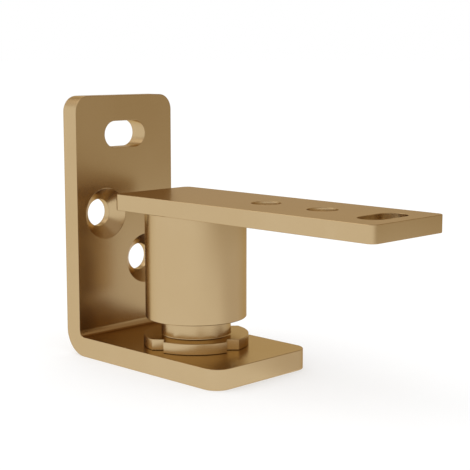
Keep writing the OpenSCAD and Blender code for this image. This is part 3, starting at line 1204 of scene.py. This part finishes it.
@dataclass
class SnapRing:
    """An open retaining ring."""

    node: str
    body: Body
    width: float
    opening: float = 3 * MM
    edge: float = 0.08 * MM
    edge_steps: int = 2
    steps: int = 96

    def build(self, material: bpy.types.Material) -> bpy.types.Object:
        """Sweeps the ring's section along an open circle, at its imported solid's size and place.

        Args:
            material: Its finish.

        Returns:
            The ring.
        """
        low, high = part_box(self.node)
        middle = max(high.y, -low.y) - self.width / 2
        sizes = {
            "Middle radius": middle,
            "Width": self.width,
            "Thickness": high.z - low.z,
            "Height": (low.z + high.z) / 2,
            "Opening": 2 * math.asin(self.opening / 2 / middle),
            "Edge round": self.edge,
            "Steps": self.steps,
        }
        tree = GeoTree(f"{self.node}_tree", sizes)
        arc: Inputs = {
            "Resolution": tree.size("Steps"),
            "Radius": tree.size("Middle radius"),
            "Start Angle": tree.maths("DIVIDE", tree.size("Opening"), 2.0),
            "Sweep Angle": tree.maths("SUBTRACT", 2 * math.pi, tree.size("Opening")),
        }
        path = tree.node("GeometryNodeCurveArc", {"mode": "RADIUS"}, arc)
        oblong: Inputs = {"Width": tree.size("Width"), "Height": tree.size("Thickness")}
        section = tree.node("GeometryNodeCurvePrimitiveQuadrilateral", {"mode": "RECTANGLE"}, oblong)
        fillet: Inputs = {"Curve": section, "Radius": tree.size("Edge round"), "Count": self.edge_steps}
        section = tree.node("GeometryNodeFilletCurve", {"mode": "POLY"}, fillet)
        sweep: Inputs = {"Curve": path, "Profile Curve": section, "Fill Caps": True}
        ring = tree.node("GeometryNodeCurveToMesh", {}, sweep)
        return tree.grow(f"{self.node}_formed", tree.lifted(ring), material)


@dataclass
class BallSet:
    """The balls of the thrust bearing."""

    count: int = 12
    segments: int = 28
    rings: int = 16

    def build(self, material: bpy.types.Material) -> bpy.types.Object:
        """Sets the balls on their circle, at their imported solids' size and place.

        Args:
            material: Their finish.

        Returns:
            The row of balls.
        """
        low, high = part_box("bearing_balls")
        ball = (high.z - low.z) / 2
        sizes = {
            "Ball radius": ball,
            "Circle radius": high.x - ball,
            "Height": (low.z + high.z) / 2,
            "Count": self.count,
        }
        tree = GeoTree("ball_set_tree", sizes)
        circle: Inputs = {"Vertices": tree.size("Count"), "Radius": tree.size("Circle radius")}
        places = tree.lifted(tree.node("GeometryNodeMeshCircle", {}, circle))
        sphere: Inputs = {"Segments": self.segments, "Rings": self.rings, "Radius": tree.size("Ball radius")}
        one = tree.node("GeometryNodeMeshUVSphere", {}, sphere)
        one = tree.node("GeometryNodeSetShadeSmooth", {}, {"Geometry": one})
        balls = tree.node("GeometryNodeInstanceOnPoints", {}, {"Points": places, "Instance": one})
        return tree.grow("ball_row", balls, material)


# ---------------------------------------------------------------- studio


@dataclass(frozen=True)
class WhiteFloor:
    """A plain white floor that keeps a soft shadow."""

    size: float = 60.0
    drop: float = 0.02 * MM
    paint: Colour = (0.9, 0.9, 0.9)
    glow: float = 1.17
    seen_share: float = 0.4
    mirrored_share: float = 0.6

    def build(self) -> None:
        """Lays the floor just under the bracket: matt, with a glow that camera and reflections see."""
        bm = bmesh.new()
        bmesh.ops.create_grid(bm, x_segments=1, y_segments=1, size=self.size / 2)
        made = mesh_object("floor", bm)
        made.location.z = -self.drop
        shader = Shader("white_floor")
        rays = [f"Is {kind} Ray" for kind in ("Camera", "Glossy", "Transmission")]
        seen, mirrored, through = shader.outputs("ShaderNodeLightPath", {}, rays)
        share = seen * self.seen_share + (mirrored + through) * self.mirrored_share
        matt = shader.node("ShaderNodeBsdfDiffuse", {}, {"Color": (*self.paint, 1.0)})
        bright = shader.node("ShaderNodeEmission", {}, {"Color": (*WHITE, 1.0), "Strength": self.glow})
        surface = shader.node("ShaderNodeMixShader", {}, {0: share, 1: matt, 2: bright})
        made.data.materials.append(shader.end(surface))


@dataclass(frozen=True)
class ReflectionBowl:
    """A closed bowl round the hinge that only reflections show, white but for three soft patches.

    They are a dim side along the horizon, as the far walls of a room would give, a warm side over it, and a
    warm crown. The warm side also reaches, fainter, onto the floor close to the hinge: there it is a painted
    shadow of the hinge on the floor, as the metal mirrors it. In the ranges between which a patch grows or
    fades, a turn is the cosine of the angle from the patch's azimuth, a reach is the distance from the axis
    and a rise is height over reach.
    """

    start: float = 0.012
    radius: float = 1.5
    wall_top: float = 1.6
    crown_top: float = 2.4
    crown_end: float = 0.01
    lift: float = 0.3 * MM
    steps: int = 96
    dim_tone: Colour = (0.50, 0.42, 0.31)
    dim_azimuth: float = 80.0
    dim_turn: Point2 = (-0.77, 0.5)
    dim_reach: Point2 = (0.05, 0.42)
    dim_rise: Point2 = (0.05, 0.41)
    warm_tone: Colour = (0.36, 0.25, 0.15)
    warm_share: float = 0.9
    warm_azimuth: float = 62.0
    warm_turn: Point2 = (0.45, 0.9)
    warm_rise: Point2 = (0.0, 0.2)
    # Painted shadow of the hinge on the floor close to it, as reflections show it: its share and the reaches
    # over which it fades out.
    near_shadow_share: float = 0.42
    near_shadow_reach: Point2 = (0.10, 0.24)
    crown_share: float = 0.75
    crown_rise: Point2 = (0.36, 0.75)

    def tone(self, shader: Shader) -> Val:
        """The colour over the bowl.

        Args:
            shader: The bowl's material.

        Returns:
            The colour.
        """
        x, y, z = shader.outputs("ShaderNodeSeparateXYZ", {"Vector": shader.place}, "XYZ")
        reach = (x * x + y * y) ** 0.5
        rise = z / reach

        def turn(azimuth: float) -> Val:
            """Cosine of the angle from a direction on the floor."""
            angle = math.radians(azimuth)
            return (x * math.cos(angle) + y * math.sin(angle)) / reach

        dim = turn(self.dim_azimuth).step(*self.dim_turn) * reach.step(*self.dim_reach)
        dim = dim * (1.0 - rise.step(*self.dim_rise))
        risen = rise.step(*self.warm_rise)
        # Painted shadow: the warm side carried onto the floor close to the hinge, in place of the hinge's own
        # shadow as the metal mirrors it.
        near_shadow = (1.0 - risen) * (1.0 - reach.step(*self.near_shadow_reach)) * self.near_shadow_share
        side = turn(self.warm_azimuth).step(*self.warm_turn) * (risen + near_shadow) * self.warm_share
        crown = rise.step(*self.crown_rise) * self.crown_share
        warm = 1.0 - (1.0 - side) * (1.0 - crown)
        return shader.mix(dim, shader.mix(warm, WHITE, self.warm_tone), self.dim_tone)

    def build(self) -> None:
        """Stands the bowl round the hinge, just over the floor."""
        floor = ((self.start, self.lift), (self.radius, self.lift))
        shape = (*floor, (self.radius, self.wall_top), (self.crown_end, self.crown_top))
        bm = bmesh.new()
        skin_levels(bm, [circle_loop(radius, z, self.steps) for radius, z in reversed(shape)])
        made = mesh_object("reflection_bowl", bm)
        made.visible_camera = made.visible_diffuse = made.visible_shadow = False
        made.visible_transmission = made.visible_volume_scatter = False
        shader = Shader("dim_horizon")
        glow = shader.node("ShaderNodeEmission", {}, {"Color": self.tone(shader), "Strength": 1.0})
        made.data.materials.append(shader.end(glow))


@dataclass(frozen=True)
class Softbox:
    """A large area lamp. Its azimuth runs from +X towards +Y and its elevation from the floor, in degrees."""

    name: str = "key"
    azimuth: float = -150.0
    elevation: float = 55.0
    distance: float = 1.2
    size: Point2 = (0.8, 0.8)
    watts: float = 2.5

    def build(self, aim: Vector) -> None:
        """Hangs the lamp so that it faces a point.

        Args:
            aim: The point.
        """
        data = bpy.data.lights.new(self.name, "AREA")
        data.shape = "RECTANGLE"
        data.size, data.size_y = self.size
        data.energy = self.watts
        made = add_object(self.name, data)
        a, e = math.radians(self.azimuth), math.radians(self.elevation)
        toward = Vector((math.cos(a) * math.cos(e), math.sin(a) * math.cos(e), math.sin(e)))
        made.location = aim + toward * self.distance
        made.rotation_euler = (-toward).to_track_quat("-Z", "Z").to_euler()


@dataclass(frozen=True)
class Studio:
    """Camera, white sky, floor, lamp and what the metal mirrors."""

    eye: Point3 = (0.2113, -0.20125, 0.0749)
    aim: Point3 = (0.0135, 0.0, 0.0335)
    lens_mm: float = 92.0
    clip: Point2 = (0.005, 200.0)
    sky: float = 1.0

    def camera(self) -> None:
        """Places the camera a little over the hinge, at its front right."""
        data = bpy.data.cameras.new("camera")
        data.lens = self.lens_mm
        data.clip_start, data.clip_end = self.clip
        made = add_object("camera", data)
        made.location = self.eye
        made.rotation_euler = (Vector(self.aim) - Vector(self.eye)).to_track_quat("-Z", "Y").to_euler()
        bpy.context.scene.camera = made

    def world(self) -> None:
        """Lights everything evenly from a white sky."""
        world = bpy.data.worlds.new("white_sky")
        world.use_nodes = True
        background = world.node_tree.nodes["Background"]
        background.inputs["Color"].default_value = (*WHITE, 1.0)
        background.inputs["Strength"].default_value = self.sky
        bpy.context.scene.world = world

    def build(self) -> None:
        """Sets up camera, floor and light."""
        bpy.context.scene.view_settings.view_transform = "Standard"
        self.camera()
        WhiteFloor().build()
        self.world()
        ReflectionBowl().build()
        Softbox().build(Vector(self.aim))


# ---------------------------------------------------------------- the hinge


@dataclass
class PivotHinge:
    """Builds every piece of the hinge in order and hangs it on its body."""

    palette: Palette
    nodes: dict[str, bpy.types.Object]
    rings: tuple[SnapRing, ...] = (
        SnapRing("mouth_ring", Body.DOOR, 1.6 * MM),
        SnapRing("journal_ring", Body.SPINDLE, 2.45 * MM),
        SnapRing("foot_ring", Body.SPINDLE, 1.7 * MM),
    )
    plain: dict[str, Slot] = field(
        default_factory=lambda: {
            "collar_washer": Slot.STEEL,
            "lock_screw": Slot.STEEL,
            "friction_ring": Slot.NYLON,
            "spindle": Slot.STEEL,
            "lower_race": Slot.STEEL,
            "ball_cage": Slot.BRONZE,
            "strap_screws": Slot.STEEL,
            "upper_race": Slot.STEEL,
            "upper_bush": Slot.BRONZE,
            "spacer_ring": Slot.STEEL,
            "lower_bush": Slot.BRONZE,
            "grease_seal": Slot.RUBBER,
        }
    )

    def seat(self, piece: bpy.types.Object, node: str, body: Body, slot: Slot) -> None:
        """Dresses a piece and lets it stand for its CAD node.

        Args:
            piece: The piece.
            node: The CAD node that it replaces.
            body: The body that it rides on.
            slot: Its material slot.
        """
        self.palette.dress(piece, slot)
        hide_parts(node)
        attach(piece, body.value)
        log.info("%s stands for %s on %s: %d faces", piece.name, node, body.value, len(piece.data.polygons))

    def plated_pieces(self) -> None:
        """Builds the four pieces that show."""
        self.seat(WallBracket().build(), "wall_bracket", Body.BRACKET, Slot.CHAMPAGNE)
        self.seat(NotchedCollar().build(), "notched_collar", Body.ADJUSTER, Slot.CHAMPAGNE)
        self.seat(Barrel().build(), "barrel", Body.DOOR, Slot.CHAMPAGNE)
        self.seat(DoorStrap().build(), "door_strap", Body.DOOR, Slot.CHAMPAGNE)

    def grown_pieces(self) -> None:
        """Builds what repeats or follows a path: the retaining rings and the balls."""
        steel = self.palette.materials[Slot.STEEL]
        for ring in self.rings:
            self.seat(ring.build(steel), ring.node, ring.body, Slot.STEEL)
        self.seat(BallSet().build(steel), "bearing_balls", Body.BALLS, Slot.STEEL)

    def plain_pieces(self) -> None:
        """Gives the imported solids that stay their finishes."""
        for node, slot in self.plain.items():
            self.palette.dress(self.nodes[node], slot)
            log.info("%s keeps its solid, in %s", node, slot.value)

    def build(self) -> None:
        """Builds the whole hinge."""
        self.plated_pieces()
        self.grown_pieces()
        self.plain_pieces()


def main() -> None:
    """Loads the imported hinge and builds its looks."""
    logging.basicConfig(level=logging.INFO, format="%(message)s")
    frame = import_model()
    Studio().build()
    PivotHinge(Palette(), frame["nodes"]).build()
    bpy.context.view_layer.update()


if __name__ == "__main__":
    main()
